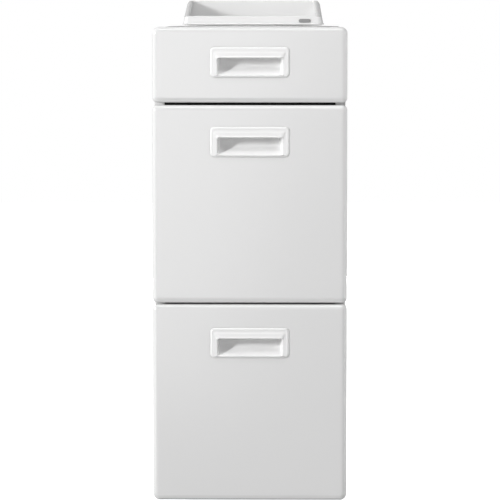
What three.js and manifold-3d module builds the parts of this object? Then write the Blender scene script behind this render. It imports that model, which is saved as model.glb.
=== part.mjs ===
// A narrow free-standing drawer tower in painted sheet steel: a cabinet on levelling feet, one shallow and two
// deep drawers on three-member telescopic slides, a moulded finger pull in each front and an open tray on top.
// Millimetres, +Z up, the fronts face -Y. The origin is on the floor at the centre of the footprint.
import * as THREE from "three";
import { mergeVertices } from "three/addons/utils/BufferGeometryUtils.js";
import Module from "manifold-3d";

const wasm = await Module();
wasm.setup();

// ---------- driving dimensions ----------
const CLEARANCE = 0.3; // between any two pieces that touch
const SHEET = 1.0; // panels and drawer boxes
const FRAME_SHEET = 1.2; // rails, uprights, slides and base pan

// liner: how much of the thickness the inner pan's plate takes
const FRONT = { width: 391, thickness: 35, edge: 8, corner: 2, bumperGap: 3, liner: 2 };
const FLOOR_TO_FRONT = 9;
const TALL_FRONT = 398;
const SHORT_FRONT = 151;
const LOWER_GAP = 3.5; // between the bottom and middle fronts
const UPPER_GAP = 5.5; // between the middle and top fronts

const CABINET = { width: 385, depth: 660, bottom: 13, sideTop: 943, top: 965.3 };
const FRONT_FLANGE = 19.7; // face flange of each side panel, seen between the fronts

const BEZEL = { width: 159, height: 61, face: 2.4, edge: 2, corner: 7 }; // face: how far it stands out
// Heights of the hood and the pocket are from the bezel's centre. The grip lip flares out to proud.
const HOOD = { proud: 6, top: 24, bottom: 8.8 };
const POCKET = { halfWidth: 66.5, top: 23, bottom: -27.7, deepest: 25, lipBack: 3.5, wall: 2.5, draft: 0.1 };
const BACK_BEAD = { centre: 82, half: 16, floor: 9, depth: 4 }; // pressed into the back panel
const TRAY = {
  halfWidth: 156, depth: 150, frontHeight: 20.5, backHeight: 54, wall: 2.5, lean: 0.177, corner: 8,
  flange: 1.5, fromBack: 20,
};
const BADGE_PLATE = { width: 26, height: 8, thickness: 0.8, x: 113, z: 10 }; // from the tray's front centre
const SLIDE = { length: 600, height: 45.6, thickness: 12.7 };
const UPRIGHT_WIDTH = 40;
const BUMPER = { radius: 4.5, fromFlange: 9, drop: 30 };

// ---------- worked-out places ----------
const OVERALL_DEPTH = HOOD.proud + FRONT.thickness + FRONT.bumperGap + CABINET.depth;
const FRONT_FACE_Y = HOOD.proud - OVERALL_DEPTH / 2;
const CABINET_FRONT_Y = FRONT_FACE_Y + FRONT.thickness + FRONT.bumperGap;
const CABINET_BACK_Y = CABINET_FRONT_Y + CABINET.depth;
const HALF_WIDTH = CABINET.width / 2;
const OPENING_HALF = HALF_WIDTH - FRONT_FLANGE; // clear half width between the face flanges
const SLIDE_FACE_X = OPENING_HALF - CLEARANCE;
const BOX_HALF = SLIDE_FACE_X - SLIDE.thickness - CLEARANCE; // outer half width of a drawer box
const LIP_DEPTH = 12; // return lip behind a face flange
const FRAME_FRONT_Y = CABINET_FRONT_Y + LIP_DEPTH + CLEARANCE; // where the base pan and uprights begin
const BOX = { length: 590, rim: 6, rimThickness: 2 };
const SLIDE_START_Y = CABINET_FRONT_Y + 5;

// pullDrop runs from the front's top edge to the bezel's, slideHeight and boxBottom from its bottom edge.
const DRAWERS = [
  { name: "bottom", height: TALL_FRONT, pullDrop: 47, boxBottom: 36, boxHeight: 300, slideHeight: 101 },
  { name: "middle", height: TALL_FRONT, pullDrop: 43, boxBottom: 36, boxHeight: 300, slideHeight: 101 },
  { name: "top", height: SHORT_FRONT, pullDrop: 40, boxBottom: 20, boxHeight: 88, slideHeight: 52 },
];
const MIDDLE_BOTTOM = FLOOR_TO_FRONT + TALL_FRONT + LOWER_GAP;
const TOP_BOTTOM = MIDDLE_BOTTOM + TALL_FRONT + UPPER_GAP;
const FRONT_BOTTOMS = { bottom: FLOOR_TO_FRONT, middle: MIDDLE_BOTTOM, top: TOP_BOTTOM };

// ---------- materials ----------
function material(color, roughness, metalness) {
  return new THREE.MeshStandardMaterial({ color, roughness, metalness });
}

const PAINT = material(0xf1f1f0, 0.32, 0);
const PLASTIC = material(0xf6f6f5, 0.28, 0);
const BIN_PLASTIC = material(0xe6e7e8, 0.42, 0);
const ZINC = material(0xb4b8bb, 0.38, 1);
const RUBBER = material(0x2d2d2f, 0.85, 0);
const BADGE = material(0x8b8f93, 0.35, 0.6);

// ---------- solids ----------
const ACROSS_Y = new THREE.Matrix4().makeBasis(
  new THREE.Vector3(1, 0, 0),
  new THREE.Vector3(0, 0, 1),
  new THREE.Vector3(0, -1, 0),
);
const ACROSS_X = new THREE.Matrix4().makeBasis(
  new THREE.Vector3(0, 1, 0),
  new THREE.Vector3(0, 0, 1),
  new THREE.Vector3(1, 0, 0),
);

// The closed solid that a three.js geometry bounds.
function solid(geometry) {
  const bare = geometry.index ? geometry.toNonIndexed() : geometry.clone();
  bare.deleteAttribute("normal");
  bare.deleteAttribute("uv");
  const merged = mergeVertices(bare, 1e-4);
  return new wasm.Manifold(
    new wasm.Mesh({
      numProp: 3,
      vertProperties: merged.attributes.position.array,
      triVerts: new Uint32Array(merged.index.array),
    }),
  );
}

function block(x0, x1, y0, y1, z0, z1) {
  const geometry = new THREE.BoxGeometry(x1 - x0, y1 - y0, z1 - z0);
  return solid(geometry.translate((x0 + x1) / 2, (y0 + y1) / 2, (z0 + z1) / 2));
}

function extrude(shape, length, curveSegments = 4) {
  return new THREE.ExtrudeGeometry(shape, { depth: length, bevelEnabled: false, curveSegments });
}

// A plan outline in (x, y), raised from z0 to z1.
const alongZ = (shape, z0, z1, segments) => solid(extrude(shape, z1 - z0, segments).translate(0, 0, z0));
// A front-view outline in (x, z), run from y0 to y1.
const alongY = (shape, y0, y1, segments) =>
  solid(extrude(shape, y1 - y0, segments).applyMatrix4(ACROSS_Y).translate(0, y1, 0));
// A side-view outline in (y, z), run from x0 to x1.
const alongX = (shape, x0, x1, segments) =>
  solid(extrude(shape, x1 - x0, segments).applyMatrix4(ACROSS_X).translate(x0, 0, 0));

const polygon = (points) => new THREE.Shape(points.map(([x, y]) => new THREE.Vector2(x, y)));

function roundedRectangle(width, height, radius, centreX = 0, centreY = 0) {
  const w = width / 2 - radius;
  const h = height / 2 - radius;
  const quarter = Math.PI / 2;
  const shape = new THREE.Shape();
  shape.absarc(centreX + w, centreY + h, radius, 0, quarter);
  shape.absarc(centreX - w, centreY + h, radius, quarter, 2 * quarter);
  shape.absarc(centreX - w, centreY - h, radius, 2 * quarter, 3 * quarter);
  shape.absarc(centreX + w, centreY - h, radius, 3 * quarter, 4 * quarter);
  return shape;
}

// Outline of a bent sheet seen end on: one face follows the points, the thickness lies to their left.
function bentSheet(points, thickness) {
  const line = points.map(([x, y]) => new THREE.Vector2(x, y));
  const normals = line.slice(1).map((p, i) => {
    const along = p.clone().sub(line[i]).normalize();
    return new THREE.Vector2(-along.y, along.x);
  });
  const offset = line.map((p, i) => {
    const before = normals[Math.max(i - 1, 0)];
    const after = normals[Math.min(i, normals.length - 1)];
    const mitre = before.clone().add(after).normalize();
    return p.clone().addScaledVector(mitre, thickness / mitre.dot(before));
  });
  return new THREE.Shape([...line, ...offset.reverse()]);
}

// A slab from y = 0 back to y = depth, bottom edge at z = 0, with its front edge rounded.
function roundedSlab(width, height, depth, edge, corner, segments) {
  const face = roundedRectangle(width - 2 * edge, height - 2 * edge, corner, 0, height / 2);
  const geometry = new THREE.ExtrudeGeometry(face, {
    depth,
    bevelThickness: edge,
    bevelSize: edge,
    bevelSegments: segments,
    curveSegments: 2,
  });
  const full = solid(geometry.applyMatrix4(ACROSS_Y).translate(0, depth + edge, 0));
  return full.intersect(block(-width, width, -1, depth, -1, height + 1));
}

// ---------- scene graph ----------
const tower = new THREE.Group();

function add(group, name, manifold, look) {
  const { vertProperties, triVerts } = manifold.getMesh();
  const indexed = new THREE.BufferGeometry()
    .setAttribute("position", new THREE.BufferAttribute(vertProperties, 3))
    .setIndex(new THREE.BufferAttribute(triVerts, 1));
  const geometry = indexed.toNonIndexed();
  geometry.computeVertexNormals();
  const mesh = new THREE.Mesh(geometry, look);
  mesh.name = name;
  group.add(mesh);
  return mesh;
}

function groupAt(parent, x, y, z) {
  const group = new THREE.Group();
  group.position.set(x, y, z);
  parent.add(group);
  return group;
}

const SIDES = [
  { name: "left", sign: -1 },
  { name: "right", sign: 1 },
];

// ---------- cabinet ----------
// Wall, face flange with a return lip, and a narrow rear flange, all one bent sheet.
function sidePanel(sign) {
  const rearFlange = 14;
  const backY = CABINET_BACK_Y - SHEET - CLEARANCE;
  const points = [
    [sign * OPENING_HALF, CABINET_FRONT_Y + LIP_DEPTH],
    [sign * OPENING_HALF, CABINET_FRONT_Y],
    [sign * HALF_WIDTH, CABINET_FRONT_Y],
    [sign * HALF_WIDTH, backY],
    [sign * (HALF_WIDTH - rearFlange), backY],
  ];
  return alongZ(bentSheet(points, sign * SHEET), CABINET.bottom, CABINET.sideTop);
}

// Two stiffening beads run the full height, and a row of vent slots sits near the top.
function backPanel() {
  const margin = 2; // to the side panels' outer faces and ends
  const half = HALF_WIDTH - margin;
  const bead = BACK_BEAD;
  const y = CABINET_BACK_Y;
  const beadPoints = (centre) => [
    [centre - bead.half, y],
    [centre - bead.floor, y - bead.depth],
    [centre + bead.floor, y - bead.depth],
    [centre + bead.half, y],
  ];
  const line = [[-half, y], ...beadPoints(-bead.centre), ...beadPoints(bead.centre), [half, y]];
  const section = bentSheet(line, -SHEET);
  const slot = { width: 70, height: 5, pitch: 12, count: 6, top: 900 };
  let panel = alongZ(section, CABINET.bottom + margin, CABINET.sideTop - margin);
  const radius = slot.height / 2 - 0.01;
  for (let i = 0; i < slot.count; i += 1) {
    const outline = roundedRectangle(slot.width, slot.height, radius, 0, slot.top - i * slot.pitch);
    panel = panel.subtract(alongY(outline, y - 10, y + 1, 2));
  }
  return panel;
}

const FOOT = { x: 162, fromEnd: 36, stud: 4, height: 36, holeGap: 0.6 };
const FRONT_FOOT_Y = FRAME_FRONT_Y + FOOT.fromEnd;
const REAR_FOOT_Y = CABINET_BACK_Y - FOOT.fromEnd;
const FEET = [
  { name: "front_left", x: -FOOT.x, y: FRONT_FOOT_Y },
  { name: "front_right", x: FOOT.x, y: FRONT_FOOT_Y },
  { name: "rear_left", x: -FOOT.x, y: REAR_FOOT_Y },
  { name: "rear_right", x: FOOT.x, y: REAR_FOOT_Y },
];
const PAN = {
  half: HALF_WIDTH - SHEET - CLEARANCE,
  wall: 22,
  backY: CABINET_BACK_Y - BACK_BEAD.depth - SHEET - CLEARANCE,
};

// A shallow open tray with a hole for each foot's stud.
function basePan() {
  const { half, backY, wall } = PAN;
  const { bottom } = CABINET;
  const inner = half - FRAME_SHEET;
  const top = bottom + wall;
  let pan = block(-half, half, FRAME_FRONT_Y, backY, bottom, top).subtract(
    block(-inner, inner, FRAME_FRONT_Y + FRAME_SHEET, backY - FRAME_SHEET, bottom + FRAME_SHEET, top + 1),
  );
  const radius = FOOT.stud + FOOT.holeGap;
  for (const foot of FEET) {
    const hole = new THREE.CylinderGeometry(radius, radius, 10, 16).rotateX(Math.PI / 2);
    pan = pan.subtract(solid(hole.translate(foot.x, foot.y, bottom)));
  }
  return pan;
}

// A pressed lid: a gentle crown across the top, rounded shoulders, and a skirt on all four sides.
function topPanel() {
  const skirtBottom = CABINET.sideTop + CLEARANCE;
  const crown = { rise: 1.5, shoulder: 8 };
  const section = (inset) => {
    const half = HALF_WIDTH - inset;
    const shoulderZ = CABINET.top - crown.rise - inset;
    const radius = crown.shoulder - inset;
    const shape = new THREE.Shape();
    shape.moveTo(-half, skirtBottom - inset);
    shape.lineTo(half, skirtBottom - inset);
    shape.absarc(half - radius, shoulderZ - radius, radius, 0, Math.PI / 2);
    shape.quadraticCurveTo(0, shoulderZ + 2 * crown.rise, radius - half, shoulderZ);
    shape.absarc(radius - half, shoulderZ - radius, radius, Math.PI / 2, Math.PI);
    return shape;
  };
  const lip = 5; // the front and back edges roll over by this much
  const middleY = (CABINET_FRONT_Y + CABINET_BACK_Y) / 2;
  const reach = 60; // the mask's height, well below the skirt
  const endMask = (inset) => {
    const side = roundedRectangle(
      CABINET.depth - 2 * inset, reach - 2 * inset, lip - inset, middleY, CABINET.top - reach / 2,
    );
    return alongX(side, -HALF_WIDTH - 1, HALF_WIDTH + 1, 3);
  };
  const outer = alongY(section(0), CABINET_FRONT_Y, CABINET_BACK_Y, 6).intersect(endMask(0));
  const inner = alongY(section(SHEET), CABINET_FRONT_Y, CABINET_BACK_Y, 6).intersect(endMask(SHEET));
  return outer.subtract(inner);
}

// A channel across the front, open to the back.
function crossChannel(y, depth, z0, z1) {
  const half = OPENING_HALF - CLEARANCE;
  const points = [
    [y + depth, z1],
    [y, z1],
    [y, z0],
    [y + depth, z0],
  ];
  return alongX(bentSheet(points, FRAME_SHEET), -half, half);
}

// A channel standing between a side panel and the slides, its web facing the drawers.
function upright(sign, y0) {
  const outer = PAN.half - FRAME_SHEET - CLEARANCE;
  const points = [
    [sign * outer, y0 + UPRIGHT_WIDTH],
    [sign * OPENING_HALF, y0 + UPRIGHT_WIDTH],
    [sign * OPENING_HALF, y0],
    [sign * outer, y0],
  ];
  const foot = CABINET.bottom + FRAME_SHEET + CLEARANCE;
  const head = CABINET.sideTop - 3; // clears the lid's skirt
  return alongZ(bentSheet(points, sign * FRAME_SHEET), foot, head);
}

// A moulded pad on a steel stud, turned about the foot's own axis, standing on z = 0.
function levellingFoot() {
  const profile = [
    [0, 0], [16.5, 0], [18, 1.5], [16, 6.5], [8, 9], [8, 12], [FOOT.stud, 12], [FOOT.stud, FOOT.height],
    [0, FOOT.height],
  ];
  const lathe = new THREE.LatheGeometry(profile.map(([r, h]) => new THREE.Vector2(r, h)), 20);
  return solid(lathe.rotateX(Math.PI / 2));
}

const cabinet = groupAt(tower, 0, 0, 0);
const SLIDE_OVERHANG = 20; // the slides run on past the rear uprights
const rearUprightY = SLIDE_START_Y + SLIDE.length - UPRIGHT_WIDTH - SLIDE_OVERHANG;
for (const { name, sign } of SIDES) {
  add(cabinet, `${name}_side_panel`, sidePanel(sign), PAINT);
  add(cabinet, `front_${name}_upright`, upright(sign, FRAME_FRONT_Y + FRAME_SHEET + CLEARANCE), ZINC);
  add(cabinet, `rear_${name}_upright`, upright(sign, rearUprightY), ZINC);
}
add(cabinet, "back_panel", backPanel(), PAINT);
add(cabinet, "base_pan", basePan(), ZINC);
add(cabinet, "top_panel", topPanel(), PAINT);

// setback: the rails behind the gaps sit back from the flanges. The bottom rail stops before the base pan.
const RAIL = { height: 20, depth: 22, setback: 14, bottomDepth: 11, topHeight: 18 };

function rail(y, depth, bottom, height) {
  return crossChannel(y, depth, bottom, bottom + height);
}

function gapRail(gapZ) {
  return rail(CABINET_FRONT_Y + RAIL.setback, RAIL.depth, gapZ - RAIL.height / 2, RAIL.height);
}

const bottomRail = rail(CABINET_FRONT_Y, RAIL.bottomDepth, CABINET.bottom, RAIL.height);
const topRail = rail(CABINET_FRONT_Y, RAIL.depth, CABINET.sideTop - RAIL.topHeight, RAIL.topHeight);
add(cabinet, "front_bottom_rail", bottomRail, PAINT);
add(cabinet, "lower_divider_rail", gapRail(MIDDLE_BOTTOM - LOWER_GAP / 2), ZINC);
add(cabinet, "upper_divider_rail", gapRail(TOP_BOTTOM - UPPER_GAP / 2), ZINC);
add(cabinet, "front_top_rail", topRail, PAINT);

for (const foot of FEET) {
  const place = groupAt(tower, foot.x, foot.y, 0);
  add(place, `${foot.name}_levelling_foot`, levellingFoot(), RUBBER);
}

// ---------- tray on top ----------
// Side walls lean in and rise from the low front wall to the high back wall. Origin: front centre of its base.
function topTray() {
  const { halfWidth, depth, frontHeight, backHeight, wall, lean, corner, flange } = TRAY;
  const frontView = (inset, top, shoulder) => {
    const foot = halfWidth - inset;
    const shape = new THREE.Shape();
    shape.moveTo(-foot, 0);
    shape.lineTo(foot, 0);
    const edge = foot - lean * top;
    shape.lineTo(edge + lean * shoulder, top - shoulder);
    shape.quadraticCurveTo(edge, top, edge - shoulder, top);
    shape.lineTo(shoulder - edge, top);
    shape.quadraticCurveTo(-edge, top, -edge - lean * shoulder, top - shoulder);
    return shape;
  };
  const sideView = new THREE.Shape();
  sideView.moveTo(0, 0);
  sideView.lineTo(depth, 0);
  sideView.lineTo(depth, backHeight);
  sideView.lineTo(depth - 8, backHeight);
  sideView.bezierCurveTo(depth - 34, backHeight - 4, depth - 66, frontHeight, 26, frontHeight);
  sideView.lineTo(0, frontHeight);
  const plan = (inset) =>
    roundedRectangle(2 * (halfWidth - inset), depth - 2 * inset, corner - inset, 0, depth / 2);
  const outer = alongY(frontView(0, backHeight, 7), 0, depth, 4)
    .intersect(alongX(sideView, -halfWidth, halfWidth, 8))
    .intersect(alongZ(plan(0), 0, backHeight, 5));
  const above = backHeight + 20; // the hollow runs out through the top
  const hollow = alongY(frontView(wall, above, 1), wall, depth - wall, 1)
    .intersect(alongZ(plan(wall), wall, above, 5));
  const footPlan = roundedRectangle(2 * (halfWidth + flange), depth + 2 * flange, corner, 0, depth / 2);
  return outer.add(alongZ(footPlan, 0, 2, 5)).subtract(hollow);
}

const TRAY_FRONT_Y = CABINET_BACK_Y - TRAY.fromBack - TRAY.depth;
const trayPlace = groupAt(tower, 0, TRAY_FRONT_Y, CABINET.top + CLEARANCE);
add(trayPlace, "top_tray", topTray(), PLASTIC);
const badgeOutline = roundedRectangle(BADGE_PLATE.width, BADGE_PLATE.height, BADGE_PLATE.height / 2 - 0.1);
const badge = groupAt(trayPlace, BADGE_PLATE.x, -CLEARANCE, BADGE_PLATE.z);
add(badge, "tray_badge", alongY(badgeOutline, -BADGE_PLATE.thickness, 0, 4), BADGE);

// ---------- drawer front ----------
// The hole behind the bezel, from the bezel's centre.
const HOLE = {
  halfWidth: POCKET.halfWidth + POCKET.wall + 2 * CLEARANCE,
  bottom: POCKET.bottom - 0.4,
  top: 26,
};

// The outer pressing: a pan with rounded edges, open at the back, with a hole for the finger pull.
function frontSkin(height, bezelCentre) {
  const depth = FRONT.thickness - FRONT.liner;
  const slab = (inset) =>
    roundedSlab(FRONT.width - 2 * inset, height - 2 * inset, depth, FRONT.edge - inset, FRONT.corner, 4);
  const pan = slab(0).subtract(slab(SHEET).translate(0, SHEET, SHEET));
  const hole = block(
    -HOLE.halfWidth, HOLE.halfWidth, -1, 5, bezelCentre + HOLE.bottom, bezelCentre + HOLE.top,
  );
  return pan.subtract(hole);
}

// The inner pan: a plate over the back of the skin and an upstand that plugs inside it.
function frontLiner(height) {
  const plateFront = FRONT.thickness - FRONT.liner + CLEARANCE;
  const upstand = { depth: 12, wall: 1.5, corner: 9 };
  const inset = SHEET + CLEARANCE;
  const outline = (margin, radius) =>
    roundedRectangle(FRONT.width - 2 * margin, height - 2 * margin, radius, 0, height / 2);
  const plate = alongY(outline(SHEET, upstand.corner), plateFront, FRONT.thickness, 3);
  const front = plateFront - upstand.depth;
  const ring = alongY(outline(inset, upstand.corner), front, plateFront + 0.5, 3);
  const inside = outline(inset + upstand.wall, upstand.corner - upstand.wall);
  return plate.add(ring.subtract(alongY(inside, front - 1, plateFront + 1, 3)));
}

// Section of the pocket in (y, z): a scooped back rising behind the grip lip. grow widens it to the outer wall.
function pocketSection(grow) {
  const { top, bottom, deepest, lipBack } = POCKET;
  const mouthY = -HOOD.proud - 2; // clear of the lip
  const flare = 1.5; // the floor's fall through the mouth
  const round = 2.5; // radius of the lip's back edge
  const shape = new THREE.Shape();
  shape.moveTo(mouthY, bottom - flare - grow);
  shape.lineTo(-1, bottom + flare - grow);
  shape.bezierCurveTo(deepest - 13, -12 - grow, deepest - 4 + grow, -4 - grow, deepest + grow, top - 9);
  shape.quadraticCurveTo(deepest + 1.5 + grow, top + grow, deepest - 7, top + grow);
  if (grow) {
    shape.lineTo(mouthY, top + grow); // the outer wall runs straight through to the bezel
    return shape;
  }
  shape.lineTo(2 * lipBack, top);
  shape.quadraticCurveTo(lipBack, top, lipBack, top - 4);
  shape.lineTo(lipBack, HOOD.bottom + round);
  shape.quadraticCurveTo(lipBack, HOOD.bottom, lipBack - round, HOOD.bottom);
  shape.lineTo(mouthY, HOOD.bottom - 0.5);
  return shape;
}

// A pocket section run across the pull, its side walls closing in towards the back.
function draftedRun(section, halfWidth) {
  const geometry = extrude(section, 2 * halfWidth, 5).applyMatrix4(ACROSS_X).translate(-halfWidth, 0, 0);
  const place = geometry.attributes.position;
  for (let i = 0; i < place.count; i += 1) {
    const depth = (place.getY(i) + HOOD.proud) / FRONT.thickness;
    place.setX(i, place.getX(i) * (1 - POCKET.draft * depth));
  }
  return solid(geometry);
}

// The moulded finger pull: a rounded bezel, and a pocket behind a flared grip lip. Origin: bezel centre.
function fingerPull() {
  const { width, height, face, edge, corner } = BEZEL;
  const plate = roundedSlab(width, height, face - CLEARANCE, edge, corner, 3);
  const bezel = plate.translate(0, -face, -height / 2);
  const bodyHalf = POCKET.halfWidth + POCKET.wall;
  const body = draftedRun(pocketSection(POCKET.wall), bodyHalf).intersect(
    block(-bodyHalf, bodyHalf, 1 - face, FRONT.thickness, HOLE.bottom + CLEARANCE, HOLE.top - CLEARANCE),
  );
  const hood = new THREE.Shape();
  hood.moveTo(0, HOOD.top);
  hood.lineTo(-face, HOOD.top);
  hood.quadraticCurveTo(-face, HOOD.bottom + 6, -HOOD.proud, HOOD.bottom + 1.5);
  hood.lineTo(-HOOD.proud, HOOD.bottom + 0.5);
  hood.lineTo(1 - HOOD.proud, HOOD.bottom);
  hood.lineTo(0, HOOD.bottom);
  return bezel
    .add(body)
    .subtract(draftedRun(pocketSection(0), POCKET.halfWidth))
    .add(alongX(hood, -POCKET.halfWidth, POCKET.halfWidth, 4));
}

// ---------- drawer box, slides and contents ----------
// An open sheet-steel box with an inward rim.
function drawerBox(height) {
  const y0 = FRONT.thickness + CLEARANCE;
  const y1 = y0 + BOX.length;
  const inside = BOX_HALF - SHEET;
  const mouth = BOX_HALF - BOX.rim;
  return block(-BOX_HALF, BOX_HALF, y0, y1, 0, height)
    .subtract(block(-inside, inside, y0 + SHEET, y1 - SHEET, SHEET, height - BOX.rimThickness))
    .subtract(block(-mouth, mouth, y0 + BOX.rim, y1 - BOX.rim, SHEET + 1, height + 1));
}

// One member of a telescopic slide, a channel run along y. u is measured from the upright to the drawer.
function slideMember(sign, points) {
  const section = points.map(([u, z]) => [sign * (SLIDE_FACE_X - u), z]);
  return alongY(bentSheet(section, -sign * FRAME_SHEET), 0, SLIDE.length);
}

const BALL_RACE = 2.4; // between one member's flange and the next
const OUTER_HALF = SLIDE.height / 2;
const MIDDLE_HALF = OUTER_HALF - FRAME_SHEET - BALL_RACE;
const INNER_HALF = MIDDLE_HALF - FRAME_SHEET - BALL_RACE;
const MIDDLE_WEB = FRAME_SHEET + 2 * CLEARANCE;
const channel = (webU, edgeU, half) => [
  [edgeU, half],
  [webU, half],
  [webU, -half],
  [edgeU, -half],
];
const SLIDE_MEMBERS = {
  outer: channel(0, 9.8, OUTER_HALF),
  middle: channel(MIDDLE_WEB, 11, MIDDLE_HALF),
  inner: channel(SLIDE.thickness, 2 * MIDDLE_WEB, INNER_HALF).reverse(),
};

// A lift-out bin: tapered walls, rounded corners, a turned-out rim and a hand slot at each end.
function liftOutBin() {
  const top = { width: 286, length: 540, height: 288, corner: 30 };
  const edge = { width: 7, thickness: 5, corner: 36 };
  const handSlot = { width: 90, height: 22, drop: 32 };
  const taper = 0.9; // the bottom's size as a share of the top's
  const wall = 2.5;
  const tub = (inset, z0) => {
    const plan = roundedRectangle(top.width - 2 * inset, top.length - 2 * inset, top.corner - inset);
    const geometry = extrude(plan, top.height - z0 + inset, 5).translate(0, 0, z0);
    const place = geometry.attributes.position;
    for (let i = 0; i < place.count; i += 1) {
      const scale = taper + (1 - taper) * (place.getZ(i) / top.height);
      place.setXY(i, place.getX(i) * scale, place.getY(i) * scale);
    }
    return solid(geometry);
  };
  const rimPlan = roundedRectangle(top.width + 2 * edge.width, top.length + 2 * edge.width, edge.corner);
  const rim = alongZ(rimPlan, top.height - edge.thickness, top.height, 5);
  const { width, height, drop } = handSlot;
  const slotOutline = roundedRectangle(width, height, height / 2 - 0.1, 0, top.height - drop);
  const slot = alongY(slotOutline, -top.length, top.length, 4);
  return tub(0, 0).add(rim).subtract(tub(wall, wall)).subtract(slot);
}

// A low open tray with one pocket across the front and two behind it.
function organiser() {
  const half = BOX_HALF - SHEET - 1;
  const length = 280;
  const height = 52;
  const wall = 2;
  const floor = 2;
  const frontPocketEnd = 90;
  const pocket = (x0, x1, y0, y1) => block(x0, x1, y0, y1, floor, height + 1);
  return block(-half, half, 0, length, 0, height)
    .subtract(pocket(wall - half, half - wall, wall, frontPocketEnd))
    .subtract(pocket(wall - half, -wall / 2, frontPocketEnd + wall, length - wall))
    .subtract(pocket(wall / 2, half - wall, frontPocketEnd + wall, length - wall));
}

// An upright panel on a short foot, standing across the drawer box.
function boxDivider() {
  const half = BOX_HALF - SHEET - 0.8; // slides freely between the box's walls
  const height = 210;
  const foot = 34;
  const sheet = 2.5;
  const corner = 24;
  const body = alongX(bentSheet([[foot, 0], [0, 0], [0, height]], -sheet), -half, half);
  const roundTop = alongY(roundedRectangle(2 * half, 2 * height, corner), -2 * sheet, 2 * sheet, 4);
  return body.intersect(roundTop.add(block(-half, half, -2 * sheet, foot + 26, -1, foot - 4)));
}

const CONTENTS = {
  bottom: { name: "lift_out_bin", make: liftOutBin, y: 330, look: BIN_PLASTIC },
  middle: { name: "drawer_divider", make: boxDivider, y: 300, look: BIN_PLASTIC },
  top: { name: "drawer_organiser", make: organiser, y: FRONT.thickness + SHEET + 2, look: BIN_PLASTIC },
};

for (const drawer of DRAWERS) {
  const { name, height, pullDrop, boxBottom, boxHeight, slideHeight } = drawer;
  const place = groupAt(tower, 0, FRONT_FACE_Y, FRONT_BOTTOMS[name]);
  const bezelCentre = height - pullDrop - BEZEL.height / 2;
  add(place, `${name}_front_skin`, frontSkin(height, bezelCentre), PAINT);
  add(place, `${name}_front_liner`, frontLiner(height), PAINT);
  add(groupAt(place, 0, 0, bezelCentre), `${name}_finger_pull`, fingerPull(), PLASTIC);

  const boxPlace = groupAt(place, 0, 0, boxBottom);
  add(boxPlace, `${name}_drawer_box`, drawerBox(boxHeight), PAINT);
  const inside = CONTENTS[name];
  add(groupAt(boxPlace, 0, inside.y, SHEET + CLEARANCE), inside.name, inside.make(), inside.look);

  const slidePlace = groupAt(place, 0, SLIDE_START_Y - FRONT_FACE_Y, slideHeight);
  for (const { name: side, sign } of SIDES) {
    for (const [member, points] of Object.entries(SLIDE_MEMBERS)) {
      add(slidePlace, `${name}_${side}_slide_${member}`, slideMember(sign, points), ZINC);
    }
    const length = FRONT.bumperGap - 2 * CLEARANCE;
    const bumper = new THREE.CylinderGeometry(BUMPER.radius, BUMPER.radius, length, 12);
    bumper.translate(0, FRONT.bumperGap / 2, 0);
    const x = sign * (OPENING_HALF + BUMPER.fromFlange);
    const corner = groupAt(place, x, FRONT.thickness, height - BUMPER.drop);
    add(corner, `${name}_${side}_bumper`, solid(bumper), RUBBER);
  }
}

export default tower;
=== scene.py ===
# A narrow three-drawer storage tower: white enamel fronts, moulded finger pulls and an open tray on top.
# Everything is in metres in the CAD frame: +Z up, the fronts face -Y. Places come from the CAD nodes' boxes.
import math

import bmesh
import bpy
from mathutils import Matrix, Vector


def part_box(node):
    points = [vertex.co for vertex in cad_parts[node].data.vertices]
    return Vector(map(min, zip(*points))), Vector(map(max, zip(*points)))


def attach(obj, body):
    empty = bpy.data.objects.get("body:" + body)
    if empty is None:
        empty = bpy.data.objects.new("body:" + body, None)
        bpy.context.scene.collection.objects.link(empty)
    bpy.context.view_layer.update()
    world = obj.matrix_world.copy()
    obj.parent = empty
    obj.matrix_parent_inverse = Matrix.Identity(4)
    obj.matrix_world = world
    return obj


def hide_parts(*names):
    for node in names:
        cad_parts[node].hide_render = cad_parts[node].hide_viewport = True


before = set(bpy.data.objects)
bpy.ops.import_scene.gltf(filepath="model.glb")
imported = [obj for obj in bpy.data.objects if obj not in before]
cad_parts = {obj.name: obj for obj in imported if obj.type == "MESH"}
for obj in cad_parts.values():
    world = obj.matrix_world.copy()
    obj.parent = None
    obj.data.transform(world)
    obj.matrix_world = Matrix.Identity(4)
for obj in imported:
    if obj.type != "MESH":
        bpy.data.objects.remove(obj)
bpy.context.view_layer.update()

MM = 0.001
TINY = 0.001 * MM
DRAWERS = ("bottom", "middle", "top")
SIDES = (("left", -1), ("right", 1))
CORNERS = ("front_left", "front_right", "rear_left", "rear_right")
UP = (0, 0, 1)
BACKWARD = (0, 1, 0)
WHITE = (1, 1, 1, 1)


def between(start, end, t):
    return start + (end - start) * t


def spread(start, end, count):
    """Evenly spaced values from start to end."""
    return [start + (end - start) * i / (count - 1) for i in range(count)]


def put(name, data):
    """A new object in the scene."""
    item = bpy.data.objects.new(name, data)
    bpy.context.scene.collection.objects.link(item)
    return item


# ---------- materials ----------
def feed(node, inputs):
    """Sets a node's inputs, by name or number. A value that is another node's output is linked."""
    for name, value in inputs.items():
        socket = node.inputs[name]
        if isinstance(value, bpy.types.NodeSocket):
            node.id_data.links.new(value, socket)
        else:
            socket.default_value = value


def add_node(tree, kind, inputs):
    node = tree.nodes.new(kind)
    feed(node, inputs)
    return node


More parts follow.
